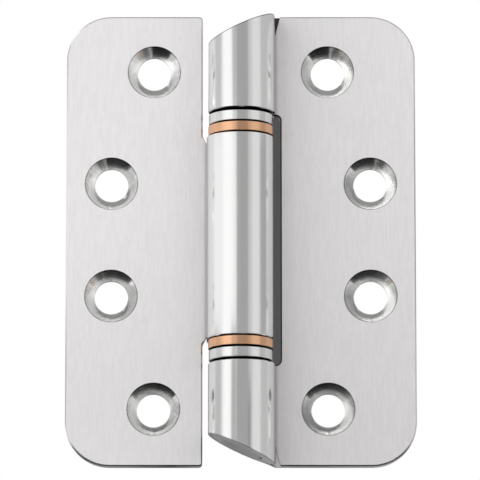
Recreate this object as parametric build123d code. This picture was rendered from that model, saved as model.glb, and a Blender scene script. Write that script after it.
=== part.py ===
from build123d import *
import os
from math import atan2, degrees, radians, sqrt, tan

# Anti-ligature butt hinge, open flat: two stainless leaves rolled round one pin.
# The frame leaf carries the two end knuckles and the pin, the door leaf the long middle knuckle.
# The outer ends of the barrel are cut to a slope, so that a loop put over the hinge slides off it.
# A bronze washer and a steel washer part the knuckles at each end of the middle one.
#
# The origin is on the pin's axis at half height. +Z runs up the pin, +X points to the frame leaf,
# and -Y is the front, where the countersinks open. Sizes are in millimetres and degrees.

# Leaves
LEAF_HEIGHT = 102.0
LEAF_REACH = 39.0  # pin axis to the leaf's outer edge
SHEET = 3.0
LEAF_SETBACK = 2.0  # the leaf's front face lies this far behind the pin axis
CORNER_RADIUS = 10.0
EDGE_BREAK = 0.3  # chamfer on the cut edges of the sheet

# Rolled knuckles
CRANK_RADIUS = 3.0  # inside the bend that takes the sheet behind the pin
TAIL_RISE = 0.35  # the roll opens by this much towards its free end
SEAM_GAP = 0.15  # between the roll's free end and the leaf
SEAM_MOUTH = 1.2  # the seam opens this far past the barrel at the ends of the frame leaf
SEAM_MOUTH_LENGTH = 4.5
SEAM_MOUTH_DEPTH = 1.2
MIDDLE_KNUCKLE = 46.0
DOOR_NOTCH_GAP = 0.9  # the door leaf is cut back this far from the end knuckles
FRAME_NOTCH_GAP = 1.2  # the frame leaf is cut back this far from the middle knuckle
DOOR_NOTCH_RADIUS = 0.85  # inside corners of the cut-outs
FRAME_NOTCH_RADIUS = 1.15
NOTCH_ROOT = 1.2  # the door leaf's cut-outs run to a point this far past the ends of the middle knuckle
NOTCH_ROOT_LENGTH = 1.8  # from that point up the slanted end of the cut-out to its wall
NOTCH_TIP_RADIUS = 0.8  # corners where the door leaf's cut-outs run off its ends

# Sloped ends
SLOPE_ANGLE = 24.5
SLOPE_FOOT = 7.7  # pin axis to where the slope meets the end of the frame leaf

# Pin and washers
PIN_DIAMETER = 8.5
PIN_GRIP = 0.01  # radial gap in the frame leaf, which holds the pin fast
PIN_PLAY = 0.05  # radial gap in the door leaf and the washers, which turn on the pin
BRONZE_WASHER = 2.3
STEEL_WASHER = 2.9
BRONZE_INSET = 0.05  # the washers' rims lie this far inside the knuckles' surface
STEEL_INSET = 0.18
BRONZE_EDGE = 0.2  # rim chamfers
STEEL_EDGE = 0.25
STEEL_OUTER_EDGE = 0.6  # wider chamfer next to the end knuckles
AXIAL_PLAY = 0.1  # between the two washers that turn on each other

# Screw holes, four to a leaf in a zigzag
SCREW_HOLE = 7.5
COUNTERSINK = 12.0
COUNTERSINK_ANGLE = 90.0
SCREW_PITCH = 25.5  # from each hole to the next, up the leaf
END_SCREW_INSET = 19.6  # top and bottom holes, from the leaf's outer edge
MIDDLE_SCREW_INSET = 10.1  # middle holes, from the leaf's outer edge

# What follows from these
TOP = LEAF_HEIGHT / 2
LEAF_FRONT = LEAF_SETBACK
LEAF_BACK = LEAF_SETBACK + SHEET
FRAME_BORE = PIN_DIAMETER / 2 + PIN_GRIP
DOOR_BORE = PIN_DIAMETER / 2 + PIN_PLAY
BARREL = DOOR_BORE + SHEET
BARREL_REACH = BARREL + TAIL_RISE
BRONZE_START = MIDDLE_KNUCKLE / 2
STEEL_START = BRONZE_START + BRONZE_WASHER + AXIAL_PLAY
END_KNUCKLE_START = STEEL_START + STEEL_WASHER
PAST = BARREL_REACH + 1  # far enough from the pin axis to lie outside the barrel
TINY = 1e-6


def slope_height(x):
    """Height of the upper sloped end where it crosses x."""
    return TOP - (SLOPE_FOOT - x) * tan(radians(SLOPE_ANGLE))


def rolled_section(bore):
    """The sheet seen along the pin: the flat, the crank that takes it behind the pin, and the roll."""
    barrel = bore + SHEET
    crank_y = LEAF_BACK + CRANK_RADIUS
    crank_x = sqrt((barrel + CRANK_RADIUS) ** 2 - crank_y**2)
    roll_start = degrees(atan2(crank_y, crank_x))
    pin_front = 270
    seam = LEAF_FRONT - SEAM_GAP

    def crank_arc(radius):
        return CenterArc((crank_x, crank_y), radius, pin_front, roll_start - 90)

    def roll_arc(radius):
        return CenterArc((0, 0), radius, roll_start, pin_front - roll_start)

    def tail_arc(radius):
        climb = seam - TAIL_RISE
        seam_angle = degrees(atan2(climb, sqrt(radius**2 - climb**2)))
        return CenterArc((0, TAIL_RISE), radius, pin_front, 90 + seam_angle)

    tail_inside = tail_arc(bore + TAIL_RISE)
    tail_outside = tail_arc(barrel + TAIL_RISE)
    return make_face(
        [
            Line((LEAF_REACH, LEAF_FRONT), (crank_x, LEAF_FRONT)),
            crank_arc(CRANK_RADIUS + SHEET),
            roll_arc(bore),
            tail_inside,
            Line(tail_inside @ 1, tail_outside @ 1),
            tail_outside,
            roll_arc(barrel),
            crank_arc(CRANK_RADIUS),
            Line((crank_x, LEAF_BACK), (LEAF_REACH, LEAF_BACK)),
            Line((LEAF_REACH, LEAF_BACK), (LEAF_REACH, LEAF_FRONT)),
        ]
    )


def front_stock(upper_half, roundings):
    """Block with an outline seen from the front, given by its upper half and its rounded corners."""
    lower_half = [(x, -z) for x, z in reversed(upper_half)]
    outline = make_face(Polyline(*upper_half, *lower_half, close=True))
    for (x, z), radius in roundings.items():
        corners = outline.vertices().filter_by(lambda v: abs(v.X - x) + abs(abs(v.Y) - z) < TINY)
        outline = fillet(corners, radius)
    return extrude(Plane.XZ * outline, 2 * PAST, both=True)


def between_slopes():
    """Block between the two sloped ends of the barrel."""
    right = LEAF_REACH + PAST
    return front_stock([(right, slope_height(right)), (-PAST, slope_height(-PAST))], {})


def break_cut_edges(leaf):
    """Chamfer the edges where the outline cuts through the sheet."""
    cut_walls = leaf.faces().filter_by(lambda face: abs(face.normal_at().Y) < TINY)
    return chamfer(cut_walls.edges().filter_by(Axis.Y, reverse=True), EDGE_BREAK)


def screw_cutter():
    """Through hole and countersink, with the leaf's front face at Z = 0."""
    sink_depth = (COUNTERSINK - SCREW_HOLE) / 2 / tan(radians(COUNTERSINK_ANGLE / 2))
    hole = Cylinder(SCREW_HOLE / 2, 3 * SHEET)
    return hole + Pos(Z=-sink_depth / 2) * Cone(SCREW_HOLE / 2, COUNTERSINK / 2, sink_depth)


def drill_screw_holes(leaf):
    """Four countersunk holes, the top and bottom ones nearer to the pin."""
    end_x = LEAF_REACH - END_SCREW_INSET
    middle_x = LEAF_REACH - MIDDLE_SCREW_INSET
    for row, x in ((-1.5, end_x), (-0.5, middle_x), (0.5, middle_x), (1.5, end_x)):
        seat = Plane((x, LEAF_FRONT, row * SCREW_PITCH), z_dir=(0, -1, 0))
        leaf -= seat * screw_cutter()
    return leaf


def make_leaf(bore, upper_half, roundings):
    """A leaf to +X: the rolled sheet cut to its outline, its edges broken, and drilled."""
    rolled_sheet = extrude(rolled_section(bore), TOP, both=True)
    leaf = rolled_sheet & front_stock(upper_half, roundings)
    return drill_screw_holes(break_cut_edges(leaf))


def wedge(corners, depth):
    """Three-cornered cutter that goes into the leaf from its front face."""
    leaf_face = Plane((0, LEAF_FRONT, 0), x_dir=(1, 0, 0), z_dir=(0, -1, 0))
    return extrude(leaf_face * make_face(Polyline(*corners, close=True)), -depth)


def seam_mouth():
    """Cutter that opens the seam at the upper end of the frame leaf."""
    tip = (BARREL_REACH, TOP - SEAM_MOUTH_LENGTH)
    left, right = BARREL_REACH - SEAM_MOUTH, BARREL_REACH + SEAM_MOUTH
    return wedge([tip, (left, TOP), (right, TOP)], SEAM_MOUTH_DEPTH)


def notch_root():
    """Cutter for the pointed end of the door leaf's upper cut-out, next to the barrel."""
    point = BRONZE_START - NOTCH_ROOT
    wall_end = point + NOTCH_ROOT_LENGTH
    corners = [(BARREL_REACH, point), (BARREL_REACH, wall_end), (BARREL_REACH + DOOR_NOTCH_GAP, wall_end)]
    return wedge(corners, SHEET)


def frame_leaf():
    """Leaf with the two end knuckles, whose outer ends are cut to the slope."""
    notch = BARREL_REACH + FRAME_NOTCH_GAP
    corner = (LEAF_REACH, TOP)
    notch_corner = (notch, END_KNUCKLE_START)
    upper_half = [corner, (-PAST, TOP), (-PAST, END_KNUCKLE_START), notch_corner]
    roundings = {corner: CORNER_RADIUS, notch_corner: FRAME_NOTCH_RADIUS}
    leaf = make_leaf(FRAME_BORE, upper_half, roundings)
    leaf -= [seam_mouth(), mirror(seam_mouth(), Plane.XY)]
    return leaf & between_slopes()


def door_leaf():
    """Leaf with the middle knuckle, on the other side of the pin."""
    notch = BARREL_REACH + DOOR_NOTCH_GAP
    corner = (LEAF_REACH, TOP)
    notch_tip = (notch, TOP)
    notch_corner = (notch, BRONZE_START)
    upper_half = [corner, notch_tip, notch_corner, (-PAST, BRONZE_START)]
    roundings = {corner: CORNER_RADIUS, notch_tip: NOTCH_TIP_RADIUS, notch_corner: DOOR_NOTCH_RADIUS}
    leaf = make_leaf(DOOR_BORE, upper_half, roundings)
    leaf -= [notch_root(), mirror(notch_root(), Plane.XY)]
    return mirror(leaf, Plane.YZ)


def hinge_pin():
    """Plain pin, cut off flush with the sloped ends."""
    return Cylinder(PIN_DIAMETER / 2, 2 * LEAF_HEIGHT) & between_slopes()


def washer(start, thickness, rim_inset):
    """Plain upper washer, its lower face at start."""
    flat = (Align.CENTER, Align.CENTER, Align.MIN)
    disc = Cylinder(BARREL - rim_inset, thickness, align=flat)
    return Pos(Z=start) * (disc - Cylinder(DOOR_BORE, thickness, align=flat))


def rim_edges(ring):
    """The two edges of a washer's rim, from the lower to the upper."""
    return ring.edges().filter_by(GeomType.CIRCLE).sort_by(SortBy.RADIUS)[-2:].sort_by(Axis.Z)


def bronze_washer():
    """Upper bronze washer, chamfered alike at both edges of its rim."""
    ring = washer(BRONZE_START, BRONZE_WASHER, BRONZE_INSET)
    return chamfer(rim_edges(ring), BRONZE_EDGE)


def steel_washer():
    """Upper steel washer, chamfered more next to the end knuckle than next to the bronze washer."""
    ring = washer(STEEL_START, STEEL_WASHER, STEEL_INSET)
    ring = chamfer(rim_edges(ring)[0], STEEL_EDGE)
    return chamfer(rim_edges(ring)[-1], STEEL_OUTER_EDGE)


upper_bronze = bronze_washer()
upper_steel = steel_washer()

pieces = {
    "frame_leaf": frame_leaf(),
    "door_leaf": door_leaf(),
    "hinge_pin": hinge_pin(),
    "upper_bronze_washer": upper_bronze,
    "upper_steel_washer": upper_steel,
    "lower_bronze_washer": mirror(upper_bronze, Plane.XY),
    "lower_steel_washer": mirror(upper_steel, Plane.XY),
}

os.makedirs("parts", exist_ok=True)
for name, piece in pieces.items():
    export_step(piece, f"parts/{name}.step")
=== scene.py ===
from math import cos, radians, sin

import bmesh
import bpy
from mathutils import Matrix, Vector

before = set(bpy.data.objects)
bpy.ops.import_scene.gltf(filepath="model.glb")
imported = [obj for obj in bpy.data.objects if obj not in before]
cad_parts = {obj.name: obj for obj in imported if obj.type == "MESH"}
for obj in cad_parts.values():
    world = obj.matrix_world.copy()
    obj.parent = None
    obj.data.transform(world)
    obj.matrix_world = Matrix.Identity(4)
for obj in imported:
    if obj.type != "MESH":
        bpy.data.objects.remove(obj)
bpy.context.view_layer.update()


# Frame leaf: 3 mm stainless sheet, rolled into the two end knuckles and drilled for four screws.
# The flat is brushed upright to a satin, the barrel is polished, and the countersinks are as turned.
MM = 0.001


def feed(tree, socket, value):
    """Gives a socket a value, or links another node's output to it."""
    if isinstance(value, bpy.types.NodeSocket):
        tree.links.new(value, socket)
    else:
        socket.default_value = value


def add_node(tree, kind, settings=(), **inputs):
    """Puts a node in a tree, feeds its inputs by name or (as _0) by number, and returns its outputs."""
    made = tree.nodes.new("ShaderNode" + kind)
    for name, value in dict(settings).items():
        setattr(made, name, value)
    for name, value in inputs.items():
        key = int(name[1:]) if name[0] == "_" else name.replace("_", " ")
        feed(tree, made.inputs[key], value)
    return made.outputs


def work_out(tree, operation, *values):
    """One step of arithmetic on values or sockets."""
    inputs = {f"_{number}": value for number, value in enumerate(values)}
    return add_node(tree, "Math", {"operation": operation}, **inputs)[0]


def above(tree, value, limit):
    """A mask that is white where the value is past the limit."""
    return work_out(tree, "GREATER_THAN", value, limit)


def below(tree, value, limit):
    """A mask that is white where the value is short of the limit."""
    return work_out(tree, "LESS_THAN", value, limit)


def all_of(tree, *masks):
    """A mask that is white only where all of these are."""
    product = masks[0]
    for mask in masks[1:]:
        product = work_out(tree, "MULTIPLY", product, mask)
    return product


def reach(tree, *offsets):
    """The distance from an axis, from the two offsets across it."""
    squares = [work_out(tree, "MULTIPLY", offset, offset) for offset in offsets]
    return work_out(tree, "SQRT", work_out(tree, "ADD", *squares))


def ramp(tree, value, low, high, to_low=0.0, to_high=1.0):
    """A smooth step from low to high."""
    limits = {"From_Min": low, "From_Max": high, "To_Min": to_low, "To_Max": to_high}
    return add_node(tree, "MapRange", {"interpolation_type": "SMOOTHSTEP"}, Value=value, **limits)["Result"]


def blend(tree, kind, mask, first, second):
    """Goes from the first colour or value to the second where the mask is white."""
    first_slot, second_slot, result = {"RGBA": (6, 7, 2), "FLOAT": (2, 3, 0)}[kind]
    inputs = {"_0": mask, f"_{first_slot}": first, f"_{second_slot}": second}
    return add_node(tree, "Mix", {"data_type": kind}, **inputs)[result]


def new_group(name, inputs, outputs):
    """An empty node group with float sockets, and a vector one called Place."""
    group = bpy.data.node_groups.new(name, "ShaderNodeTree")
    group.interface.new_socket("Place", in_out="INPUT", socket_type="NodeSocketVector")
    for socket in inputs:
        group.interface.new_socket(socket, in_out="INPUT", socket_type="NodeSocketFloat")
    for socket in outputs:
        group.interface.new_socket(socket, in_out="OUTPUT", socket_type="NodeSocketFloat")
    return group, group.nodes.new("NodeGroupInput").outputs, group.nodes.new("NodeGroupOutput").inputs


# Brushing: long fine scratches along Z, and short broader flecks among them
GRAIN_DETAIL = 3.0
GRAIN_BREAK_UP = 0.6
brushing, given, wanted = new_group(
    "brushing", ["Scratch", "Scratch Length", "Fleck", "Fleck Length"], ["Grain", "Flecks"])
for finished, mark in (("Grain", "Scratch"), ("Flecks", "Fleck")):
    across = work_out(brushing, "DIVIDE", 1.0, given[mark])
    along = work_out(brushing, "DIVIDE", 1.0, given[mark + " Length"])
    scale = add_node(brushing, "CombineXYZ", X=across, Y=across, Z=along)[0]
    stretched = add_node(brushing, "VectorMath", {"operation": "MULTIPLY"}, _0=given["Place"], _1=scale)[0]
    noise = add_node(
        brushing, "TexNoise", Vector=stretched, Scale=1.0, Detail=GRAIN_DETAIL, Roughness=GRAIN_BREAK_UP)
    feed(brushing, wanted[finished], noise["Fac"])

# Zones of a leaf: masks for each finish and for the painted shade, found by their places on the sheet
LEAF_FRONT = 2.0 * MM
LEAF_BACK = 5.0 * MM
LEAF_TOP = 51.0 * MM
SKIN = 0.02 * MM
leaf_zones, given, wanted = new_group("leaf zones", [], [
    "Barrel", "Sink", "Sink Rim", "Edge", "Joint", "Ground", "Ground Rim", "Seam", "Slot", "Crease"])
at = add_node(leaf_zones, "SeparateXYZ", Vector=given["Place"])
side = work_out(leaf_zones, "ABSOLUTE", at["X"])
rise = work_out(leaf_zones, "ABSOLUTE", at["Z"])
below_front = above(leaf_zones, at["Y"], LEAF_FRONT + SKIN)
above_back = below(leaf_zones, at["Y"], LEAF_BACK - SKIN)
in_sheet = all_of(leaf_zones, below_front, above_back)

# The polished barrel round the pin
BARREL_EDGE = 7.72 * MM
POLISH_FADE = 0.2 * MM
from_pin = reach(leaf_zones, at["X"], at["Y"])
barrel = ramp(leaf_zones, from_pin, BARREL_EDGE, BARREL_EDGE + POLISH_FADE, 1.0, 0.0)
feed(leaf_zones, wanted["Barrel"], barrel)

# The countersinks of the four screw holes, and the broken edges round them, where painted shade draws a
# dark ring
MIDDLE_HOLE = (28.9 * MM, 12.75 * MM)
END_HOLE = (19.4 * MM, 38.25 * MM)
SINK_RADIUS = 6.0 * MM
SINK_MARGIN = 0.05 * MM
SINK_RIM = 0.3 * MM
reaches = []
for hole_x, hole_z in (MIDDLE_HOLE, END_HOLE):
    off_x = work_out(leaf_zones, "SUBTRACT", side, hole_x)
    off_z = work_out(leaf_zones, "SUBTRACT", rise, hole_z)
    reaches.append(reach(leaf_zones, off_x, off_z))
from_hole = work_out(leaf_zones, "MINIMUM", *reaches)
sink = all_of(leaf_zones, below(leaf_zones, from_hole, SINK_RADIUS + SINK_MARGIN), in_sheet)
feed(leaf_zones, wanted["Sink"], sink)
near_front = ramp(leaf_zones, at["Y"], LEAF_FRONT + SINK_RIM / 2, LEAF_FRONT + SINK_RIM, 1.0, 0.0)
feed(leaf_zones, wanted["Sink Rim"], all_of(leaf_zones, sink, near_front))

# The cut edges of the flat
FLAT_START = 7.75 * MM
feed(leaf_zones, wanted["Edge"], all_of(leaf_zones, in_sheet, above(leaf_zones, side, FLAT_START)))

# Painted shade in the crease in front, where the flat meets the barrel
CREASE_START = 7.26 * MM
CREASE_FADE = 7.4 * MM
CREASE_END = 8.6 * MM
CREASE_MARGIN = 0.05 * MM
crease = ramp(leaf_zones, side, CREASE_FADE, CREASE_END, 1.0, 0.0)
past_barrel = above(leaf_zones, side, CREASE_START)
in_front = below(leaf_zones, at["Y"], LEAF_FRONT + CREASE_MARGIN)
feed(leaf_zones, wanted["Crease"], all_of(leaf_zones, crease, past_barrel, in_front))

# Painted shade on the walls of the frame leaf's slot beside the middle knuckle
SLOT_START = 7.35 * MM
SLOT_EDGE = 9.2 * MM
SLOT_HALF_HEIGHT = 28.9 * MM
past_knuckle = above(leaf_zones, at["X"], SLOT_START)
by_slot = below(leaf_zones, at["X"], SLOT_EDGE)
in_height = below(leaf_zones, rise, SLOT_HALF_HEIGHT)
feed(leaf_zones, wanted["Slot"], all_of(leaf_zones, in_sheet, past_knuckle, by_slot, in_height))

# Painted shade in the joints, at the knuckles' ends by the washers
MIDDLE_KNUCKLE_END = (22.78 * MM, 22.95 * MM)
END_KNUCKLE_END = (28.35 * MM, 28.52 * MM)
past_middle = ramp(leaf_zones, rise, *MIDDLE_KNUCKLE_END)
short_of_end = ramp(leaf_zones, rise, *END_KNUCKLE_END, 1.0, 0.0)
near_pin = below(leaf_zones, from_pin, BARREL_EDGE)
feed(leaf_zones, wanted["Joint"], all_of(leaf_zones, past_middle, short_of_end, near_pin))

# Painted shade in the seam's open upper end on the frame leaf, between the roll and the leaf
SEAM_MOUTH_START = 7.0 * MM
SEAM_MOUTH_EDGE = 8.9 * MM
SEAM_MOUTH_TIP = 46.4 * MM
SEAM_MOUTH_DEPTH = 1.25 * MM
past_tip = above(leaf_zones, at["Z"], SEAM_MOUTH_TIP)
short_of_top = below(leaf_zones, rise, LEAF_TOP - SKIN)
past_roll = above(leaf_zones, at["X"], SEAM_MOUTH_START)
in_mouth = below(leaf_zones, at["X"], SEAM_MOUTH_EDGE)
not_deep = below(leaf_zones, at["Y"], LEAF_FRONT + SEAM_MOUTH_DEPTH)
mouth_shade = all_of(leaf_zones, in_sheet, past_tip, short_of_top, past_roll, in_mouth, not_deep)
feed(leaf_zones, wanted["Seam"], mouth_shade)

# The knuckles' sloped ends and the rims round them, found by their depth below the slope; the rims get
# painted shade
SLOPE_FOOT = 7.7 * MM
SLOPE_TANGENT = 0.4557
GROUND_DEPTH = 0.01 * MM
GROUND_RIM_DEPTH = 0.2 * MM
from_foot = work_out(leaf_zones, "SUBTRACT", SLOPE_FOOT, at["X"])
slope_drop = work_out(leaf_zones, "MULTIPLY", from_foot, SLOPE_TANGENT)
slope_height = work_out(leaf_zones, "SUBTRACT", LEAF_TOP, slope_drop)
to_slope = work_out(leaf_zones, "SUBTRACT", slope_height, rise)
on_barrel = below(leaf_zones, side, BARREL_EDGE)
for finished, depth in (("Ground", GROUND_DEPTH), ("Ground Rim", GROUND_RIM_DEPTH)):
    feed(leaf_zones, wanted[finished], all_of(leaf_zones, below(leaf_zones, to_slope, depth), on_barrel))


def dress(tree, **looks):
    """Feeds the inputs of a material's Principled shader."""
    shader = tree.nodes["Principled BSDF"]
    for name, value in looks.items():
        feed(tree, shader.inputs[name.replace("_", " ")], value)


def new_material(name, **looks):
    """A material with plain values on its Principled shader."""
    material = bpy.data.materials.new(name)
    material.use_nodes = True
    dress(material.node_tree, **looks)
    return material


# The colours of the crease, the sink rims, the slope rims, the joints, the seam's mouth and the slot's
# walls are painted shade
SATIN_COLOUR = (0.854, 0.837, 0.844, 1)
STREAK_COLOUR = (0.816, 0.8, 0.806, 1)
POLISH_COLOUR = (0.86, 0.86, 0.855, 1)
CREASE_SHADE_COLOUR = (0.52, 0.5, 0.495, 1)
EDGE_COLOUR = (0.78, 0.78, 0.77, 1)
SINK_COLOUR = (0.95, 0.95, 0.94, 1)
SINK_RIM_SHADE_COLOUR = (0.5, 0.5, 0.49, 1)
GROUND_COLOUR = (0.62, 0.62, 0.615, 1)
GROUND_RIM_SHADE_COLOUR = (0.28, 0.28, 0.275, 1)
JOINT_SHADE_COLOUR = (0.02, 0.019, 0.017, 1)
RECESS_SHADE_COLOUR = (0.05, 0.05, 0.048, 1)
SATIN_ROUGHNESS = (0.53, 0.59)
POLISH_ROUGHNESS = (0.13, 0.19)
EDGE_ROUGHNESS = 0.3
SINK_ROUGHNESS = 0.15
GROUND_ROUGHNESS = 0.34
SCRATCH = 0.12 * MM
SCRATCH_LENGTH = 9 * MM
SCRATCH_DEPTH = 0.02 * MM
SCRATCH_STRENGTH = 0.05
FLECK = 0.45 * MM
FLECK_LENGTH = 3.5 * MM
SATIN_CONTRAST = (0.25, 0.75)
POLISH_CONTRAST = (0.3, 0.7)
FLECK_CONTRAST = (0.35, 0.65)
BRUSHED_STRETCH = 0.6


def leaf_steel(name, satin_colour, streak_colour):
    """Satin sheet with a polished barrel and turned countersinks."""
    material = new_material(name, Metallic=1.0, Anisotropic=BRUSHED_STRETCH)
    tree = material.node_tree
    here = add_node(tree, "TexCoord")["Object"]
    zones = add_node(tree, "Group", {"node_tree": leaf_zones}, Place=here)
    brushed = add_node(
        tree, "Group", {"node_tree": brushing}, Place=here,
        Scratch=SCRATCH, Scratch_Length=SCRATCH_LENGTH, Fleck=FLECK, Fleck_Length=FLECK_LENGTH)
    flecks = ramp(tree, brushed["Flecks"], *FLECK_CONTRAST)
    colour = blend(tree, "RGBA", flecks, satin_colour, streak_colour)
    # Painted shade darkens the crease, the sink rims, the slope rims, the joints, the seam's mouth and the
    # slot's walls
    for zone, zone_colour in (
        ("Barrel", POLISH_COLOUR), ("Crease", CREASE_SHADE_COLOUR), ("Edge", EDGE_COLOUR),
        ("Sink", SINK_COLOUR), ("Sink Rim", SINK_RIM_SHADE_COLOUR),
        ("Ground Rim", GROUND_RIM_SHADE_COLOUR), ("Ground", GROUND_COLOUR),
        ("Joint", JOINT_SHADE_COLOUR), ("Seam", RECESS_SHADE_COLOUR), ("Slot", RECESS_SHADE_COLOUR),
    ):
        colour = blend(tree, "RGBA", zones[zone], colour, zone_colour)
    roughness = ramp(tree, brushed["Grain"], *SATIN_CONTRAST, *SATIN_ROUGHNESS)
    polish_roughness = ramp(tree, brushed["Grain"], *POLISH_CONTRAST, *POLISH_ROUGHNESS)
    for zone, zone_roughness in (
        ("Barrel", polish_roughness), ("Edge", EDGE_ROUGHNESS),
        ("Sink", SINK_ROUGHNESS), ("Ground", GROUND_ROUGHNESS),
    ):
        roughness = blend(tree, "FLOAT", zones[zone], roughness, zone_roughness)
    bump = add_node(
        tree, "Bump", Height=brushed["Grain"], Strength=SCRATCH_STRENGTH, Distance=SCRATCH_DEPTH)[0]
    tangent = add_node(tree, "Tangent", {"direction_type": "RADIAL", "axis": "Z"})[0]
    dress(tree, Base_Color=colour, Roughness=roughness, Normal=bump, Tangent=tangent)
    return material


frame_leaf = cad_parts["frame_leaf"]
frame_leaf.material_slots[0].material = leaf_steel(
    "satin stainless of the frame leaf", SATIN_COLOUR, STREAK_COLOUR)


# Hinge pin: plain stainless bar, held in the end knuckles and ground flush with their slopes.
# Only its two sloped ends show.
pin_steel = new_material(
    "ground stainless of the pin", Base_Color=GROUND_COLOUR, Roughness=GROUND_ROUGHNESS, Metallic=1.0)
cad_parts["hinge_pin"].material_slots[0].material = pin_steel


# Steel washers: turned stainless rings, one against each end knuckle, a little smaller than the barrel.
# Fine rings from the lathe run round their rims, and painted shade darkens them where they dip into the
# joints.
STEEL_WASHER_COLOUR = (0.84, 0.84, 0.83, 1)
STEEL_WASHER_ROUGHNESS = 0.16
STEEL_WASHER_SHADE_RADII = (6.95 * MM, 7.06 * MM)
RING_SCALE = 9000.0
RING_DETAIL = 2.0
RING_CONTRAST = (0.3, 0.7)
RING_ROUGHENING = 0.08
RING_STRENGTH = 0.08
RING_DEPTH = 0.02 * MM
turned_rim, given, wanted = new_group("turned rim", ["Greasy Radius", "Clean Radius"], ["Rings", "Joint Shade"])
at = add_node(turned_rim, "SeparateXYZ", Vector=given["Place"])
rings = add_node(
    turned_rim, "TexNoise", {"noise_dimensions": "1D"}, W=at["Z"], Scale=RING_SCALE, Detail=RING_DETAIL)
feed(turned_rim, wanted["Rings"], rings["Fac"])
from_pin = reach(turned_rim, at["X"], at["Y"])
# Painted shade: dark from the second radius in to the first, where a rim dips into a joint
joint_shade = ramp(turned_rim, from_pin, given["Greasy Radius"], given["Clean Radius"], 1.0, 0.0)
feed(turned_rim, wanted["Joint Shade"], joint_shade)


def turned_metal(name, colour, roughness, shade_radii):
    """Turned metal with fine rings round its rim, and painted shade from the second radius in to the first.
    """
    material = new_material(name, Metallic=1.0)
    tree = material.node_tree
    here = add_node(tree, "TexCoord")["Object"]
    shaded_radius, unshaded_radius = shade_radii
    turned = add_node(
        tree, "Group", {"node_tree": turned_rim}, Place=here,
        Greasy_Radius=shaded_radius, Clean_Radius=unshaded_radius)
    rim_colour = blend(tree, "RGBA", turned["Joint Shade"], colour, JOINT_SHADE_COLOUR)
    rim_roughness = ramp(tree, turned["Rings"], *RING_CONTRAST, roughness, roughness + RING_ROUGHENING)
    bump = add_node(tree, "Bump", Height=turned["Rings"], Strength=RING_STRENGTH, Distance=RING_DEPTH)[0]
    dress(tree, Base_Color=rim_colour, Roughness=rim_roughness, Normal=bump)
    return material


washer_steel = turned_metal(
    "turned stainless of the washers", STEEL_WASHER_COLOUR, STEEL_WASHER_ROUGHNESS, STEEL_WASHER_SHADE_RADII)
for end in ("upper", "lower"):
    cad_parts[f"{end}_steel_washer"].material_slots[0].material = washer_steel


# Bronze washers: turned bearing bronze, one against each end of the middle knuckle.
# They turn with the door leaf on the steel washers, and their rims are bright.
BRONZE_WASHER_COLOUR = (0.86, 0.50, 0.30, 1)
BRONZE_WASHER_ROUGHNESS = 0.18
# Painted shade on the bronze rims, where they dip into the joints, lies between these radii
BRONZE_WASHER_SHADE_RADII = (7.17 * MM, 7.23 * MM)
washer_bronze = turned_metal(
    "turned bronze of the washers", BRONZE_WASHER_COLOUR, BRONZE_WASHER_ROUGHNESS, BRONZE_WASHER_SHADE_RADII)
for end in ("upper", "lower"):
    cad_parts[f"{end}_bronze_washer"].material_slots[0].material = washer_bronze


# Door leaf: the same sheet as the frame leaf, rolled into the long middle knuckle.
# It is brushed, polished and drilled in the same way, and its satin is painted a little lighter, as painted
# light.
DOOR_LIT_SATIN_COLOUR = (0.914, 0.896, 0.904, 1)
DOOR_LIT_STREAK_COLOUR = (0.876, 0.858, 0.866, 1)
door_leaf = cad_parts["door_leaf"]
door_leaf.material_slots[0].material = leaf_steel(
    "satin stainless of the door leaf", DOOR_LIT_SATIN_COLOUR, DOOR_LIT_STREAK_COLOUR)


# Floor: a plain pale sheet, level and wide, well below the hinge.
# The hinge hangs in the air above it, as it would on a door's frame.
FLOOR_DROP = 0.56
FLOOR_WIDTH = 10.0
FLOOR_COLOUR = (0.94, 0.94, 0.94, 1)
FLOOR_ROUGHNESS = 0.7


def flat_sheet(name, width, height, turn, centre, material):
    """A flat sheet, turned from lying level and then moved to its centre."""
    mesh = bpy.data.meshes.new(name)
    bm = bmesh.new()
    bmesh.ops.create_grid(bm, x_segments=1, y_segments=1, size=0.5)
    bmesh.ops.scale(bm, verts=bm.verts, vec=(width, height, 1))
    bmesh.ops.rotate(bm, verts=bm.verts, matrix=turn)
    bmesh.ops.translate(bm, verts=bm.verts, vec=centre)
    bm.to_mesh(mesh)
    bm.free()
    mesh.materials.append(material)
    sheet = bpy.data.objects.new(name, mesh)
    bpy.context.collection.objects.link(sheet)
    return sheet


floor_card = new_material("pale floor", Base_Color=FLOOR_COLOUR, Roughness=FLOOR_ROUGHNESS)
floor = flat_sheet("floor", FLOOR_WIDTH, FLOOR_WIDTH, Matrix.Identity(3), (0, 0, -FLOOR_DROP), floor_card)


# Studio: a white room, with lit and dark cards round the hinge, each turned to face it.
# The metal mirrors the cards, and the camera sees only the strip far behind the slot, a painted shadow.
WHITE = (1, 1, 1, 1)
BLACK = (0, 0, 0, 1)
world = bpy.data.worlds.new("white room")
world.use_nodes = True
world.node_tree.nodes["Background"].inputs["Color"].default_value = WHITE
world.node_tree.nodes["Background"].inputs["Strength"].default_value = 1.0
bpy.context.scene.world = world


def card(name, bearing, lift, distance, width, height, brightness, backdrop=False):
    """A card that faces the hinge from a bearing (0 is the front, right is positive) and a lift."""
    turn, tilt = radians(bearing), radians(lift)
    out = Vector((sin(turn) * cos(tilt), -cos(turn) * cos(tilt), sin(tilt)))
    glow = new_material(
        name, Base_Color=BLACK, Specular_IOR_Level=0.0, Emission_Color=WHITE, Emission_Strength=brightness)
    made = flat_sheet(name, width, height, out.to_track_quat("Z", "Y").to_matrix(), out * distance, glow)
    made.visible_camera = backdrop
    made.visible_glossy = not backdrop
    made.visible_diffuse = False
    made.visible_shadow = False


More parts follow.
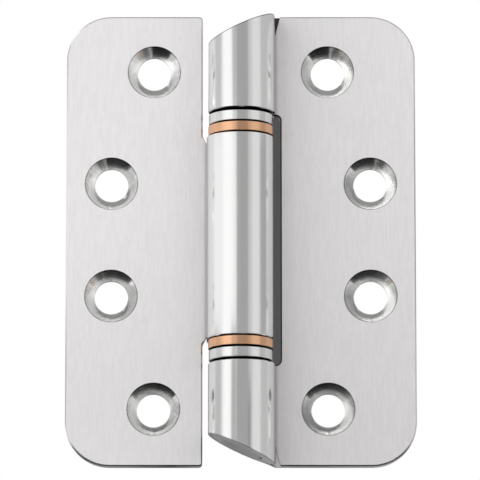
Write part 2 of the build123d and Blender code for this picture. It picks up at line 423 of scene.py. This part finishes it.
# Each card's bearing and lift in degrees, its distance, width and height in metres, and its brightness
for values in (
    ("dark strip before the barrel", 4.8, 0, 0.0221, 0.0136, 0.2, 0.4),
    ("grey card beside the camera", 33, 10.5, 1.32, 0.43, 0.36, 0.62),
    ("black camera", 0, -21, 1.1, 0.6, 0.44, 0.03),
    ("dark card right of the camera", 22, -9, 0.215, 0.09, 0.07, 0.25),
    ("light over the camera", -4, -6.5, 1.0, 0.2, 0.1, 2.2),
    ("grey card at the right", 112, 10, 0.9, 1.6, 2.0, 0.55),
    ("grey card behind the hinge", 169, -5, 0.8, 0.89, 0.6, 0.2),
    ("black card by the lower slope", 210, -27, 0.11, 0.08, 0.06, 0.01),
    ("left softbox", -44, 12, 0.25, 0.15, 0.4, 1.12),
    ("right softbox", 54.5, 12, 0.7, 0.38, 0.8, 0.8),
    ("upper softbox", -58, 46, 0.3, 0.26, 0.13, 1.9),
    ("grey card above", 0, 100, 0.9, 1.3, 0.5, 0.3),
    ("black card below", 0, -78, 0.25, 0.95, 0.26, 0.01),
    ("upper left flag", -94, 31, 0.14, 0.11, 0.045, 0.6),
    ("lower left flag", -94, -10, 0.12, 0.11, 0.04, 0.55),
    ("upper front flag", -22, 31, 0.14, 0.032, 0.045, 0.5),
    ("lower front flag", -24, -10, 0.12, 0.036, 0.04, 0.45),
    ("right flag", 105, 11, 0.12, 0.16, 0.05, 0.4),
):
    card(*values)
# A dark strip far behind the hinge, a painted shadow, shows only through the slot beside the middle knuckle
card("painted shadow behind the slot", 179.37, 11.03, 2.038, 0.0108, 0.162, 0.085, backdrop=True)


# Camera: a long lens in front of the hinge and 11 degrees below it, as in the photograph.
# It looks up at the middle of the hinge, and its frame leaves a little room above and below.
CAMERA_DISTANCE = 1.2
CAMERA_LIFT = -11.0
AIM_SIDE = -0.2 * MM
AIM_HEIGHT = -0.45 * MM
FRAME_WIDTH = 0.1068
SENSOR = 36.0
camera_data = bpy.data.cameras.new("camera")
camera_data.sensor_width = SENSOR
camera_data.lens = SENSOR * CAMERA_DISTANCE / FRAME_WIDTH
camera = bpy.data.objects.new("camera", camera_data)
bpy.context.collection.objects.link(camera)
lift = radians(CAMERA_LIFT)
camera.location = (AIM_SIDE, -CAMERA_DISTANCE * cos(lift), AIM_HEIGHT + CAMERA_DISTANCE * sin(lift))
camera.rotation_euler = (radians(90) - lift, 0, 0)
bpy.context.scene.camera = camera
bpy.context.scene.view_settings.view_transform = "Standard"
